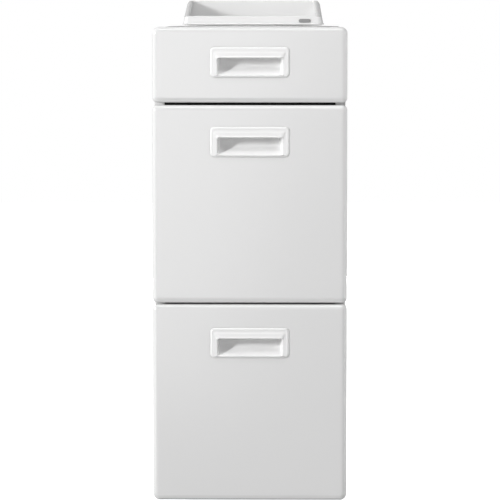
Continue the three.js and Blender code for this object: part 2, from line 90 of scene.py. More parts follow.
class Look:
    """A Principled material. Noise in the object's own space can vary its colour, roughness and bump."""

    def __init__(self, name, color, roughness, metallic=0.0):
        self.material = bpy.data.materials.new(name)
        self.material.use_nodes = True
        self.tree = self.material.node_tree
        self.shader = self.tree.nodes["Principled BSDF"]
        feed(self.shader, {"Base Color": (*color, 1), "Roughness": roughness, "Metallic": metallic})
        self.place = self.tree.nodes.new("ShaderNodeTexCoord").outputs["Object"]

    def noise(self, scale, detail=2.0, stretch=(1, 1, 1)):
        """Noise with scale features per metre, stretched along an axis where stretch is below 1."""
        mapping = add_node(self.tree, "ShaderNodeMapping", {"Scale": stretch, "Vector": self.place})
        inputs = {"Scale": scale, "Detail": detail, "Vector": mapping.outputs["Vector"]}
        return add_node(self.tree, "ShaderNodeTexNoise", inputs).outputs["Fac"]

    def cells(self, scale):
        """Random grey for each cell of a Voronoi pattern with scale cells per metre."""
        texture = add_node(self.tree, "ShaderNodeTexVoronoi", {"Scale": scale, "Vector": self.place})
        return add_node(self.tree, "ShaderNodeRGBToBW", {"Color": texture.outputs["Color"]}).outputs["Val"]

    def vary_color(self, pattern, dark, light):
        mix = self.tree.nodes.new("ShaderNodeMix")
        mix.data_type = "RGBA"
        feed(mix, {"A": (*dark, 1), "B": (*light, 1), "Factor": pattern})
        feed(self.shader, {"Base Color": mix.outputs["Result"]})

    def vary_roughness(self, pattern, low, high):
        inputs = {"To Min": low, "To Max": high, "Value": pattern}
        feed(self.shader, {"Roughness": add_node(self.tree, "ShaderNodeMapRange", inputs).outputs["Result"]})

    def bump(self, pattern, height, strength):
        inputs = {"Distance": height, "Strength": strength, "Height": pattern}
        feed(self.shader, {"Normal": add_node(self.tree, "ShaderNodeBump", inputs).outputs["Normal"]})


def grey(value, blue=0.0):
    return (value - blue, value, value + blue)


def enamel_look():
    """Baked white enamel: even, semi-gloss, with the faint orange peel of sprayed paint."""
    look = Look("white_enamel", grey(0.82), roughness=0.15)
    look.vary_color(look.noise(3.0, 3.0), grey(0.81, -0.001), grey(0.825, -0.001))
    look.vary_roughness(look.noise(60.0), 0.13, 0.18)
    look.bump(look.noise(420.0, 1.0), 0.01 * MM, 0.2)
    return look.material


def gloss_plastic_look(name, value):
    look = Look(name, grey(value), roughness=0.24)
    look.vary_color(look.noise(9.0), grey(value - 0.005, -0.001), grey(value + 0.005, -0.001))
    look.vary_roughness(look.noise(150.0), 0.2, 0.28)
    look.bump(look.noise(700.0, 1.0), 0.01 * MM, 0.3)
    return look.material


def satin_plastic_look():
    """Moulded plastic with a fine spark-eroded grain."""
    look = Look("pale_plastic", grey(0.68, 0.01), roughness=0.45)
    look.vary_color(look.noise(12.0), grey(0.665, 0.01), grey(0.7, 0.01))
    look.vary_roughness(look.noise(200.0), 0.4, 0.52)
    look.bump(look.noise(1600.0), 0.04 * MM, 0.5)
    return look.material


def zinc_look():
    """Zinc plate over rolled steel: fine crystals and faint rolling marks along the length."""
    look = Look("zinc_steel", grey(0.6, 0.008), roughness=0.34, metallic=1.0)
    look.vary_color(look.cells(240.0), grey(0.54, 0.008), grey(0.66, 0.01))
    look.vary_roughness(look.noise(90.0, 3.0, stretch=(1, 0.08, 1)), 0.26, 0.46)
    look.bump(look.noise(500.0, stretch=(1, 0.05, 1)), 0.01 * MM, 0.4)
    return look.material


def gap_shade_look():
    """Near-black rails behind the gaps: painted shade, so the gaps between the fronts look as dark as deep
    shadow.
    """
    look = Look("painted_gap_shade", grey(0.02), roughness=0.5, metallic=0.4)
    look.vary_color(look.noise(80.0), grey(0.015), grey(0.03))
    look.vary_roughness(look.noise(140.0), 0.45, 0.6)
    return look.material


def rubber_look():
    look = Look("rubber", grey(0.03), roughness=0.8)
    look.vary_color(look.noise(300.0), grey(0.025), grey(0.04))
    look.bump(look.noise(2000.0), 0.05 * MM, 0.5)
    return look.material


def foot_plastic_look():
    look = Look("foot_plastic", grey(0.03), roughness=0.5)
    look.vary_color(look.noise(200.0), grey(0.022), grey(0.04))
    look.vary_roughness(look.noise(500.0), 0.42, 0.58)
    look.bump(look.noise(1500.0), 0.04 * MM, 0.5)
    return look.material


def badge_look():
    """Brushed metal."""
    look = Look("badge_metal", grey(0.3), roughness=0.32, metallic=0.9)
    brushing = look.noise(900.0, stretch=(0.04, 1, 1))
    look.vary_color(brushing, grey(0.26), grey(0.34))
    look.vary_roughness(brushing, 0.25, 0.4)
    return look.material


LOOKS = {
    "white_enamel": enamel_look(),
    "white_plastic": gloss_plastic_look("white_plastic", 0.94),
    "tray_plastic": gloss_plastic_look("tray_plastic", 0.8),
    "pale_plastic": satin_plastic_look(),
    "zinc_steel": zinc_look(),
    "painted_gap_shade": gap_shade_look(),
    "rubber": rubber_look(),
    "foot_plastic": foot_plastic_look(),
    "badge_metal": badge_look(),
}


# ---------- mesh building ----------
def outline(half_w, half_h, radius, corner_steps=8, edge_steps=1):
    """Anticlockwise points of a rounded rectangle about (0, 0), from its right side's upper end.
    The count of points doesn't depend on the sizes, so two outlines bridge, and point i mirrors
    point -1 - i across the horizontal. radius is one number, or the upper and the lower corners' own."""
    pair = radius if isinstance(radius, tuple) else (radius, radius)
    upper, lower = (max(min(r, half_w - TINY, half_h - TINY), TINY) for r in pair)
    corners = ((1, 1, upper), (-1, 1, upper), (-1, -1, lower), (1, -1, lower))
    points = []
    for quarter, (sx, sy, r) in enumerate(corners):
        centre_x, centre_y = sx * (half_w - r), sy * (half_h - r)
        for step in range(corner_steps + 1):
            angle = math.pi / 2 * (quarter + step / corner_steps)
            points.append((centre_x + r * math.cos(angle), centre_y + r * math.sin(angle)))
        if quarter in (0, 2):
            start_x, level = points[-1]
            for step in range(1, edge_steps):
                points.append((start_x - 2 * centre_x * step / edge_steps, level))
    return points


def facing(points, y, centre=(0.0, 0.0)):
    """An outline stood up in the plane of the fronts, at depth y."""
    return [Vector((centre[0] + u, y, centre[1] + v)) for u, v in points]


def lying(points, z, centre=(0.0, 0.0)):
    """An outline laid flat at height z."""
    return [Vector((centre[0] + u, centre[1] + v, z)) for u, v in points]


def arc(steps, start=0.0, end=90.0):
    """(1 - cos, sin) along an arc in degrees: the inset and the rise of a rounded edge."""
    for step in range(steps + 1):
        angle = math.radians(start + (end - start) * step / steps)
        yield 1 - math.cos(angle), math.sin(angle)


class Loft:
    """Rings of equal count joined by quads. fill() closes the last ring with a ladder of quads."""

    def __init__(self, bm=None):
        self.bm = bmesh.new() if bm is None else bm
        self.first = None
        self.last = None

    def ring(self, points):
        verts = [self.bm.verts.new(p) for p in points]
        if self.last:
            self.bridge(self.last, verts)
        else:
            self.first = verts
        self.last = verts

    def rings(self, many):
        for points in many:
            self.ring(points)

    def bridge(self, a, b):
        count = len(a)
        for i in range(count):
            j = (i + 1) % count
            self.bm.faces.new((a[i], a[j], b[j], b[i]))

    def close(self):
        self.bridge(self.last, self.first)

    def fill(self):
        verts = self.last
        count = len(verts)
        for i in range(count // 2 - 1):
            self.bm.faces.new((verts[i], verts[i + 1], verts[count - 2 - i], verts[count - 1 - i]))

    def restart(self, ring=None):
        """Goes on from an earlier ring, or from nothing."""
        self.last = ring


def even_normals(piece):
    modifier = piece.modifiers.new("even_normals", "WEIGHTED_NORMAL")
    modifier.keep_sharp = True
    modifier.weight = 100


def add_piece(name, bm, body, look, replaces=(), sharp=40.0, weighted=True):
    """Turns a bmesh into a piece that rides on a body. Edges sharper than sharp degrees stay crisp."""
    bmesh.ops.remove_doubles(bm, verts=bm.verts, dist=2 * TINY)
    bmesh.ops.recalc_face_normals(bm, faces=bm.faces)
    for face in bm.faces:
        face.smooth = True
    for edge in bm.edges:
        edge.smooth = len(edge.link_faces) == 2 and edge.calc_face_angle() < math.radians(sharp)
    mesh = bpy.data.meshes.new(name)
    bm.to_mesh(mesh)
    bm.free()
    mesh.materials.append(LOOKS[look])
    piece = put(name, mesh)
    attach(piece, body)
    if replaces:
        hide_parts(*replaces)
    if weighted:
        even_normals(piece)
    return piece


def body_of_drawer(drawer):
    return f"{drawer}_drawer"


# ---------- drawer fronts ----------
SHEET = 1 * MM
BENT_SHEET = 1.3 * SHEET  # its thickness at the rounded edge
EDGE_WIDTH = 11 * MM  # the front's rounded edge, seen from the front
EDGE_DEPTH = 6.5 * MM
EDGE_START = 27  # the edge begins this many degrees up its arc
EDGE_HEM = 0.35 * MM  # the sheet's back edge turns in by this much
FACE_MARGIN = 4 * MM  # a strip of flat face along the rounded edge, which keeps its shading even
FRONT_CORNER = 9.5 * MM  # between two fronts
END_CORNER = 13 * MM  # at the top and the bottom of the stack
CORNER_SHRINK = 0.6  # a ring's corners lose this share of its inset
PULL_HOLE = {"half_width": 69.4 * MM, "bottom": -28 * MM, "top": 25.8 * MM, "corner": 2 * MM}
SEAT_DEPTH = 0.9 * MM  # the sheet is pressed back a little behind the bezel
SEAT_GAP = 1 * MM  # and leaves a narrow groove around it
BEZEL_HALF_HEIGHT = 30.5  # mm
BEZEL_CORNER = 8.0  # mm


def pillow(width, depth, steps=9):
    """(inset, depth below the face) from the rim of a front up to its flat face."""
    first_inset, first_rise = next(arc(steps, EDGE_START))
    for inset, rise in arc(steps, EDGE_START):
        yield width * (inset - first_inset) / (1 - first_inset), depth * (1 - rise) / (1 - first_rise)


def front_skin(drawer):
    """A front's pressed sheet: from its back edge over the face to the pull's hole, and back inside."""
    node = f"{drawer}_front_skin"
    low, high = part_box(node)
    pull_low, pull_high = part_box(f"{drawer}_finger_pull")
    pull_z = (pull_low.z + pull_high.z) / 2
    half_w = (high.x - low.x) / 2
    half_h = (high.z - low.z) / 2
    middle = (0.0, (low.z + high.z) / 2)
    face_y, back_y = low.y, high.y
    upper = END_CORNER if drawer == "top" else FRONT_CORNER
    lower = END_CORNER if drawer == "bottom" else FRONT_CORNER
    hole_half_h = (PULL_HOLE["top"] - PULL_HOLE["bottom"]) / 2
    hole_middle = (0.0, pull_z + (PULL_HOLE["top"] + PULL_HOLE["bottom"]) / 2)

    def ring(inset, y):
        corners = (upper - CORNER_SHRINK * inset, lower - CORNER_SHRINK * inset)
        return facing(outline(half_w - inset, half_h - inset, corners), y, middle)

    def hole(y):
        return facing(outline(PULL_HOLE["half_width"], hole_half_h, PULL_HOLE["corner"]), y, hole_middle)

    def seat(gap, y):
        half_sizes = (pull_high.x + gap, BEZEL_HALF_HEIGHT * MM + gap)
        return facing(outline(*half_sizes, BEZEL_CORNER * MM + gap), y, (0.0, pull_z))

    loft = Loft()
    loft.ring(ring(EDGE_HEM, back_y))
    loft.ring(ring(0, back_y - EDGE_HEM))
    loft.rings(ring(inset, face_y + below) for inset, below in pillow(EDGE_WIDTH, EDGE_DEPTH))
    loft.ring(ring(EDGE_WIDTH + FACE_MARGIN, face_y))
    loft.ring(seat(SEAT_GAP, face_y))
    loft.ring(seat(SEAT_GAP, face_y + SEAT_DEPTH))
    loft.ring(hole(face_y + SEAT_DEPTH))
    loft.ring(hole(face_y + SEAT_DEPTH + SHEET))
    loft.ring(seat(SEAT_GAP + SHEET, face_y + SEAT_DEPTH + SHEET))
    loft.ring(seat(SEAT_GAP + SHEET, face_y + SHEET))
    loft.ring(ring(EDGE_WIDTH + FACE_MARGIN, face_y + SHEET))
    for inset, below in reversed(list(pillow(EDGE_WIDTH - SHEET, EDGE_DEPTH - SHEET, 4))):
        loft.ring(ring(SHEET + inset, face_y + BENT_SHEET + below))
    loft.ring(ring(SHEET, back_y))
    loft.close()
    add_piece(f"{drawer}_front_enamel", loft.bm, body_of_drawer(drawer), "white_enamel", (node,))


PAN_SHEET = 1.7 * MM
PAN_UPSTAND = {"inset": 0.6 * MM, "thickness": 1.5 * MM}
PAN_CORNER = 9 * MM
PAN_ROLL = 0.9 * MM
# insets towards the pressed-in field, and its depth; the slope is as wide as its distance from the edge
PAN_FIELD = {"plate": 21 * MM, "edge": 24 * MM, "slope": 1.5 * MM, "floor": 30 * MM, "depth": 1.3 * MM}


def front_liner(drawer):
    """The inner pan: a plate with a pressed-in field, and the upstand that plugs inside the skin."""
    node = f"{drawer}_front_liner"
    low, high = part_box(node)
    half_w = (high.x - low.x) / 2
    half_h = (high.z - low.z) / 2
    middle = (0.0, (low.z + high.z) / 2)
    plate_y = high.y - PAN_SHEET

    def ring(inset, y):
        return facing(outline(half_w - inset, half_h - inset, PAN_CORNER - inset / 2), y, middle)

    loft = Loft()
    upstand = PAN_UPSTAND["inset"]
    inside = upstand + PAN_UPSTAND["thickness"]
    loft.ring(ring(inside, plate_y))
    loft.fill()
    for inset, y in ((inside, low.y), (upstand, low.y), (upstand, plate_y), (0, plate_y)):
        loft.ring(ring(inset, y))
    loft.rings(ring(PAN_ROLL * inset, high.y - PAN_ROLL * (1 - rise)) for inset, rise in arc(4))
    loft.ring(ring(PAN_FIELD["plate"], high.y))
    loft.ring(ring(PAN_FIELD["edge"], high.y))
    for inset, rise in arc(4):
        slope = PAN_FIELD["edge"] + PAN_FIELD["slope"] * (1 + rise)
        loft.ring(ring(slope, high.y - PAN_FIELD["depth"] * inset))
    loft.ring(ring(PAN_FIELD["floor"], high.y - PAN_FIELD["depth"]))
    loft.fill()
    add_piece(f"{drawer}_front_pan", loft.bm, body_of_drawer(drawer), "white_enamel", (node,))


# ---------- finger pulls ----------
# Heights are from the bezel's centre and proud is how far a point stands out of the front's face, both in mm.
BEZEL_ROLL = 4.4  # width of the bezel's rounded edge
BEZEL_CORNER_SHRINK = 0.7  # a ring's corners lose this share of its inset
BEZEL_SKIRT = 0.9  # the bezel reaches into its groove by this share of the groove's depth
ROLL_STEPS = 7
ROLL_START = 35  # the rounded edge begins this many degrees up its arc
BAND_PROUD = 2.4  # the flat side bands
HOOD_STEPS = 14
HOOD_DIP = 0.9  # how hollow the hood's upper half is
HOOD_SLOPE = 0.6  # this share of the hood's flare is even, and the rest comes at the lip
LIP_PROUD = 6.0
LIP_FRONT_HEIGHT = 10.4
MOUTH_HALF = 66.4
MOUTH_BOTTOM = -27.2
MOUTH_RINGS = 4  # the mouth's edge turns from the bands into the pocket over this many rings
MOUTH_STEP = 0.4  # how much each side closes in from ring to ring there
POCKET_CORNER = 5.0
POCKET_CORNER_STEP = 0.7
POCKET_DRAFT = 0.2  # how much each side wall closes in for each unit of depth
PULL_WALL = 1.6
# the back of the hood, from the lip's front up behind it, over the pocket's ceiling and down to its back
HOOD_BACK = (
    (9.7, 5.8), (9.1, 5.2), (8.8, 4.3), (8.8, 1.5), (8.8, -1.5), (9.2, -2.7),
    (10.2, -3.4), (13.0, -3.5), (17.0, -3.5), (20.5, -4.2), (22.5, -6.5), (23.0, -10.0),
    (23.0, -15.0), (22.6, -19.5), (21.2, -22.8), (18.8, -24.6), (16.0, -25.2),
)
SCOOP = ((MOUTH_BOTTOM, 2.0), (-19.2, -7.2), (-10.0, -25.2), (12.0, -25.2))  # the floor's Bezier curve
SCOOP_PACE = 1.2  # above 1, the first rings stay close together at the mouth


def bezier(controls, t):
    s = 1 - t
    weights = (s**3, 3 * s * s * t, 3 * s * t * t, t**3)
    return tuple(sum(w * value for w, value in zip(weights, values)) for values in zip(*controls))


# The next three functions give one ring at a time, as
# upper edge (height, proud), lower edge (height, proud), the sides' proud, half width, corner radius.
def bezel_rings(half_width):
    """A skirt in the front's groove, then the rounded edge up to the flat bands."""
    skirt = -BEZEL_SKIRT * SEAT_DEPTH / MM
    yield (BEZEL_HALF_HEIGHT, skirt), (-BEZEL_HALF_HEIGHT, skirt), skirt, half_width, BEZEL_CORNER
    start_inset = next(arc(ROLL_STEPS, ROLL_START))[0]
    radius = BEZEL_ROLL / (1 - start_inset)
    for inset, rise in arc(ROLL_STEPS, ROLL_START):
        proud = BAND_PROUD - radius * (1 - rise)
        into = radius * (inset - start_inset)
        height = BEZEL_HALF_HEIGHT - into
        corner = BEZEL_CORNER - BEZEL_CORNER_SHRINK * into
        yield (height, proud), (-height, proud), proud, half_width - into, corner


def hood_rings(half_width):
    """The hollow hood flares out to the grip lip above, while the lower edge and the sides stay flat."""
    top = BEZEL_HALF_HEIGHT - BEZEL_ROLL
    for step in range(1, HOOD_STEPS + 1):
        t = step / HOOD_STEPS
        dip = HOOD_DIP * math.sin(math.pi * min(2 * t, 1))
        flare = HOOD_SLOPE * t + (1 - HOOD_SLOPE) * t**7
        upper = (between(top, LIP_FRONT_HEIGHT, t), BAND_PROUD - dip + (LIP_PROUD - BAND_PROUD) * flare)
        lower = (between(-top, MOUTH_BOTTOM, t), BAND_PROUD)
        yield upper, lower, BAND_PROUD, between(half_width, MOUTH_HALF, t), POCKET_CORNER


def pocket_rings():
    """The upper edge goes around the back of the hood and the lower edge down the scooped floor."""
    for k, upper in enumerate(HOOD_BACK, start=1):
        lower = bezier(SCOOP, (k / len(HOOD_BACK)) ** SCOOP_PACE)
        side = between(BAND_PROUD, min(upper[1], lower[1]), min(1.0, k / MOUTH_RINGS))
        depth = max(0.0, BAND_PROUD - (upper[1] + lower[1]) / 2)
        half_width = MOUTH_HALF - MOUTH_STEP * min(k, MOUTH_RINGS - 1) - POCKET_DRAFT * depth
        corner = POCKET_CORNER - POCKET_CORNER_STEP * min(k, MOUTH_RINGS)
        yield upper, lower, side, half_width, corner


def finger_pull(drawer):
    """One moulding: the bezel, the hood that flares out to the grip lip, and the scooped pocket behind it."""
    node = f"{drawer}_finger_pull"
    low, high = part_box(node)
    face_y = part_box(f"{drawer}_front_skin")[0].y
    centre_z = (low.z + high.z) / 2
    half_width = (high.x - low.x) / 2 / MM

    def ring(upper, lower, side, half_w, corner):
        """Where the upper edge stands prouder than the sides, it falls back to theirs within the corners."""
        (z1, p1), (z0, p0) = upper, lower
        half_h = math.hypot(z1 - z0, p1 - p0) / 2
        points = []
        for u, v in outline(half_w, half_h, corner, corner_steps=7):
            t = v / half_h / 2 + 0.5
            proud = between(p0, p1, t)
            if p1 > side:
                near_top = max(0.0, 1 - (half_h - v) / corner)
                proud = side + (p0 - side) * (1 - t) + (p1 - side) * near_top
            points.append(Vector((u * MM, face_y - proud * MM, centre_z + between(z0, z1, t) * MM)))
        return points

    loft = Loft()
    for rows in (bezel_rings(half_width), hood_rings(half_width - BEZEL_ROLL), pocket_rings()):
        loft.rings(ring(*row) for row in rows)
    loft.fill()
    name, body = f"{drawer}_pull_moulding", body_of_drawer(drawer)
    piece = add_piece(name, loft.bm, body, "white_plastic", (node,), sharp=60, weighted=False)
    thickness = piece.modifiers.new("wall", "SOLIDIFY")
    thickness.thickness = PULL_WALL * MM
    thickness.offset = -1
    even_normals(piece)


# ---------- cabinet top and tray ----------
LID_CROWN = 2.5 * MM
LID_SHOULDER = 6 * MM
LID_MARGIN = 5 * MM  # a strip inside the shoulder, which keeps the top's shading even
LID_CORNER_SHRINK = 0.9  # a ring's corners lose this share of its inset
LID_HEM = {"width": 0.3 * MM, "inner_height": 0.3 * MM, "outer_height": 0.4 * MM}


def top_lid():
    """Pressed lid: crowned across its width, with rounded shoulders and a skirt."""
    low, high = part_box("top_panel")
    half_w = (high.x - low.x) / 2
    half_d = (high.y - low.y) / 2
    middle = (0.0, (low.y + high.y) / 2)

    def level(inset, z):
        corner = LID_SHOULDER - LID_CORNER_SHRINK * inset
        return lying(outline(half_w - inset, half_d - inset, corner, edge_steps=24), z, middle)

    def crowned(inset, drop):
        points = level(inset, high.z - drop)
        for p in points:
            p.z -= LID_CROWN * (p.x / half_w) ** 2
        return points

    loft = Loft()
    loft.ring(level(SHEET, low.z + LID_HEM["inner_height"]))
    loft.ring(level(LID_HEM["width"], low.z))
    loft.ring(level(0, low.z + LID_HEM["outer_height"]))
    loft.rings(crowned(LID_SHOULDER * inset, LID_SHOULDER * (1 - rise)) for inset, rise in arc(8))
    loft.ring(crowned(LID_SHOULDER + LID_MARGIN, 0))
    loft.fill()
    loft.restart(loft.first)
    inner = LID_SHOULDER - SHEET
    loft.rings(crowned(SHEET + inner * inset, SHEET + inner * (1 - rise)) for inset, rise in arc(3))
    loft.ring(crowned(LID_SHOULDER + LID_MARGIN, SHEET))
    loft.fill()
    add_piece("cabinet_lid", loft.bm, "cabinet", "white_enamel", ("top_panel",))


TRAY_WALL = 2.5 * MM
TRAY_FRONT_HEIGHT = 20.5 * MM
TRAY_CORNER = 11 * MM
TRAY_SHOULDER = 6.5 * MM  # the back wall's top rounds down at its ends
TRAY_FILLET = 6 * MM
TRAY_LEVELS = 7  # up each side of a wall
CREST_POINTS = 41
TRAY_FLARE = 1.5 * MM  # the walls' foot turns out by this much
SIDE_RIM = {"width": 13 * MM, "roll": 4 * MM}  # the side walls' rim; the other walls' is a plain half circle
RIM_UNDERSIDE = {"start": 1 * MM, "end": 2 * MM}  # below the height where the rim starts to round
SIDE_LEAN = 0.177
FRONT_LEAN = 0.06
SIDE_TAPER = 3 * MM  # each side closes in by this much from the back to the front
# (offset inwards, height) in mm of the base, which is inset and leaves a dark line over the lid, and the foot
TRAY_FOOT = ((4, 0), (4, 1.6), (-0.9, 1.6), (-1.5, 2.2), (-1.5, 2.6), (0, 4.4))


def tray_crest(depth, back_height):
    """(distance from the front, height) along the sweep from the front wall's top up to the back wall's."""
    controls = (
        (26 * MM, TRAY_FRONT_HEIGHT),
        (depth - 66 * MM, TRAY_FRONT_HEIGHT),
        (depth - 34 * MM, back_height - 4 * MM),
        (depth - 8 * MM, back_height),
    )
    return [bezier(controls, t) for t in spread(0, 1, CREST_POINTS)]


def tray():
    """Open tray: a low front wall, a high back wall and side walls that sweep up between them. All lean in.
    The side walls end in a broad rounded rim, and the front and back walls in a narrow one."""
    low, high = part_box("top_tray")
    half_w = (high.x - low.x) / 2 - TRAY_FLARE
    half_d = (high.y - low.y) / 2 - TRAY_FLARE
    middle_y = (low.y + high.y) / 2
    back_height = high.z - low.z
    crest = tray_crest(2 * half_d, back_height)

    def top_height(x, from_front):
        """Height of the wall's top edge above a point of the plan."""
        height = back_height
        if from_front <= crest[0][0]:
            height = TRAY_FRONT_HEIGHT
        elif from_front < crest[-1][0]:
            for (y0, h0), (y1, h1) in zip(crest, crest[1:]):
                if y0 <= from_front <= y1:
                    height = between(h0, h1, (from_front - y0) / (y1 - y0))
        over = min(abs(x) - (half_w - TRAY_SHOULDER), TRAY_SHOULDER)
        if over > 0:
            height = min(height, back_height - (TRAY_SHOULDER - math.sqrt(TRAY_SHOULDER**2 - over**2)))
        return height

    def ring(offset, height, across=0.0):
        """offset is how far the ring lies inside the walls' outer face. across runs from 0 on the outside of
        the rim to 1 on its inside. height(eaves, roll) gives a point's height above the base, from the height
        where the rim starts to round there and how much higher its crest is."""
        half_u = half_w - offset - SIDE_RIM["width"] * across
        half_v = half_d - offset - TRAY_WALL * across
        corner = TRAY_CORNER - offset - TRAY_WALL * across
        points = []
        for u, v in outline(half_u, half_v, corner, corner_steps=12):
            sideways = max(0.0, 1 - (half_u - abs(u)) / TRAY_CORNER)
            roll = between(TRAY_WALL / 2, SIDE_RIM["roll"], sideways)
            z = height(top_height(u, half_d + v) - roll, roll)
            x = u * (1 - SIDE_LEAN * z / half_w - SIDE_TAPER / half_w * (half_d - v) / (2 * half_d))
            y = v * (1 - FRONT_LEAN * z / half_d)
            points.append(Vector((x, middle_y + y, low.z + z)))
        return points

    loft = Loft()
    for offset, z in TRAY_FOOT:
        loft.ring(ring(offset * MM, lambda eaves, roll: z * MM))
        if z == 0:
            loft.fill()
    foot_top = TRAY_FOOT[-1][1] * MM
    for t in spread(0, 1, TRAY_LEVELS)[1:]:
        loft.ring(ring(0, lambda eaves, roll: between(foot_top, eaves, t)))
    for inset, rise in list(arc(12, 0, 180))[1:]:
        loft.ring(ring(0, lambda eaves, roll: eaves + roll * rise, inset / 2))
    # under the broad rim the side walls are as thin as the others
    start, end = RIM_UNDERSIDE["start"], RIM_UNDERSIDE["end"]
    loft.ring(ring(0, lambda eaves, roll: eaves - start, 1.0))
    fillet_top = TRAY_WALL + TRAY_FILLET
    for t in spread(0, 1, TRAY_LEVELS):
        loft.ring(ring(TRAY_WALL, lambda eaves, roll: between(eaves - end, fillet_top, t)))
    for inset, rise in list(arc(5))[1:]:
        loft.ring(ring(TRAY_WALL + TRAY_FILLET * inset, lambda eaves, roll: fillet_top - TRAY_FILLET * rise))
    loft.fill()
    add_piece("tray_moulding", loft.bm, "cabinet", "tray_plastic", ("top_tray",), sharp=50)


# ---------- turned pieces and fasteners ----------
# Profiles are (radius, height along the axis) in mm.
PAN_HEAD = (
    (0, -0.1), (4, -0.1), (4, 0.35), (3.8, 0.75), (3.3, 1.05),
    (2.6, 1.2), (1.7, 1.25), (1.5, 1.1), (1.3, 0.6), (0, 0.5),
)
RIVET_HEAD = ((0, -0.1), (3.2, -0.1), (3.2, 0.15), (2.8, 0.4), (2, 0.55), (0, 0.6))
BUMPER = ((0, 0), (4, 0), (4.5, 0.3), (4.5, 1.2), (4.2, 1.8), (3.4, 2.2), (2, 2.4), (0, 2.4))
FOOT_PAD = (
    (0, 0), (15.2, 0), (16.8, 0.5), (17.7, 1.3), (18, 2.4), (17.7, 3.6),
    (16.6, 5), (15.2, 5.9), (13.6, 6.4), (10, 7.2), (8.4, 7.8), (0, 7.8),
)
HEX_NUT = ((0, 7.8), (7.2, 7.8), (8, 8.3), (8, 11.5), (7.2, 12), (0, 12))
THREAD = {"root": 3.45, "crest": 4.0, "half_ridge": 0.45, "pitch": 1.25}
STUD = {"start": 12.0, "plain_end": 1.5, "chamfer": 0.6}
BALL_RADIUS = 1.1


def ball_profile(steps=6):
    """Half a circle, from pole to pole."""
    yield 0, -BALL_RADIUS
    for k in range(1, steps):
        angle = math.pi * (k / steps - 0.5)
        yield BALL_RADIUS * math.cos(angle), BALL_RADIUS * math.sin(angle)
    yield 0, BALL_RADIUS


def stud_profile(top):
    """A stud from the nut's top up to top, with ring-shaped ridges for its thread."""
    root = THREAD["root"]
    ridge = THREAD["half_ridge"]
    profile = [(0, STUD["start"]), (root, STUD["start"])]
    height = STUD["start"] + THREAD["pitch"]
    while height < top - STUD["plain_end"]:
        profile += [(root, height - ridge), (THREAD["crest"], height), (root, height + ridge)]
        height += THREAD["pitch"]
    chamfer = STUD["chamfer"]
    return profile + [(root, top - chamfer), (root - chamfer, top), (0, top)]


def turn(bm, profile, place, normal, segments=20):
    """Adds a turned shape at place, with its axis along normal. Its profile starts and ends on the axis."""
    rotation = Vector(UP).rotation_difference(Vector(normal)).to_matrix()
    last = None
    for radius, height in profile:
        count = segments if radius else 1
        ring = []
        for i in range(count):
            angle = 2 * math.pi * i / segments
            point = Vector((radius * math.cos(angle), radius * math.sin(angle), height)) * MM
            ring.append(bm.verts.new(Vector(place) + rotation @ point))
        if last:
            for i in range(segments):
                j = (i + 1) % segments
                corners = [last[i % len(last)], last[j % len(last)], ring[j % count], ring[i % count]]
                bm.faces.new(list(dict.fromkeys(corners)))
        last = ring


def fasteners(name, body, places, normal, head=PAN_HEAD):
    """One piece holding a row of identical heads."""
    bm = bmesh.new()
    for place in places:
        turn(bm, head, place, normal, segments=16)
    add_piece(name, bm, body, "zinc_steel", sharp=50)


BACK_SCREWS = {"edge": 5.5 * MM, "end": 30 * MM, "count": 7}
PAN_SCREW_EDGE = 13 * MM
PAN_SCREW_ROWS = {"bottom": 4, "middle": 4, "top": 2}
SLIDE_SHEET = 1.2 * MM
BOX_SHEET = 1 * MM
SLIDE_SCREWS = {"end": 18 * MM, "count": 5}
BALL_PITCH = 12 * MM
RACE_OFFSET = 3.6 * MM  # from a middle member's inner side to its balls
CAGE = {"half_width": 3 * MM, "corner": 1 * MM, "thickness": 0.4 * MM}


def back_panel_screws():
    low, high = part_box("back_panel")
    edge, end = BACK_SCREWS["edge"], BACK_SCREWS["end"]
    heights = spread(low.z + end, high.z - end, BACK_SCREWS["count"])
    places = [(x, high.y, z) for x in (low.x + edge, high.x - edge) for z in heights]
    fasteners("back_panel_screws", "cabinet", places, BACKWARD)


def front_pan_screws(drawer):
    """Screws up both sides of a front's inner pan, and one in the middle at its top and bottom."""
    low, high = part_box(f"{drawer}_front_liner")
    left, right = low.x + PAN_SCREW_EDGE, high.x - PAN_SCREW_EDGE
    rows = spread(low.z + PAN_SCREW_EDGE, high.z - PAN_SCREW_EDGE, PAN_SCREW_ROWS[drawer])
    columns = ((left, rows), (0.0, (rows[0], rows[-1])), (right, rows))
    places = [(x, high.y, z) for x, heights in columns for z in heights]
    fasteners(f"{drawer}_front_pan_screws", body_of_drawer(drawer), places, BACKWARD)


def slide_fasteners(drawer, side, sign):
    """Screws in the drawer member's web, and their rivets inside the box."""
    low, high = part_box(f"{drawer}_{side}_slide_inner")
    middle_z = (low.z + high.z) / 2
    rows = spread(low.y + SLIDE_SCREWS["end"], high.y - SLIDE_SCREWS["end"], SLIDE_SCREWS["count"])
    web_x = min(abs(low.x), abs(high.x)) + SLIDE_SHEET
    places = [(sign * web_x, y, middle_z) for y in rows]
    fasteners(f"{drawer}_{side}_slide_screws", body_of_drawer(drawer), places, (sign, 0, 0))
    inside_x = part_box(f"{drawer}_drawer_box")[1].x - BOX_SHEET
    places = [(sign * inside_x, y, middle_z) for y in rows]
    fasteners(f"{drawer}_{side}_box_rivets", body_of_drawer(drawer), places, (-sign, 0, 0), RIVET_HEAD)


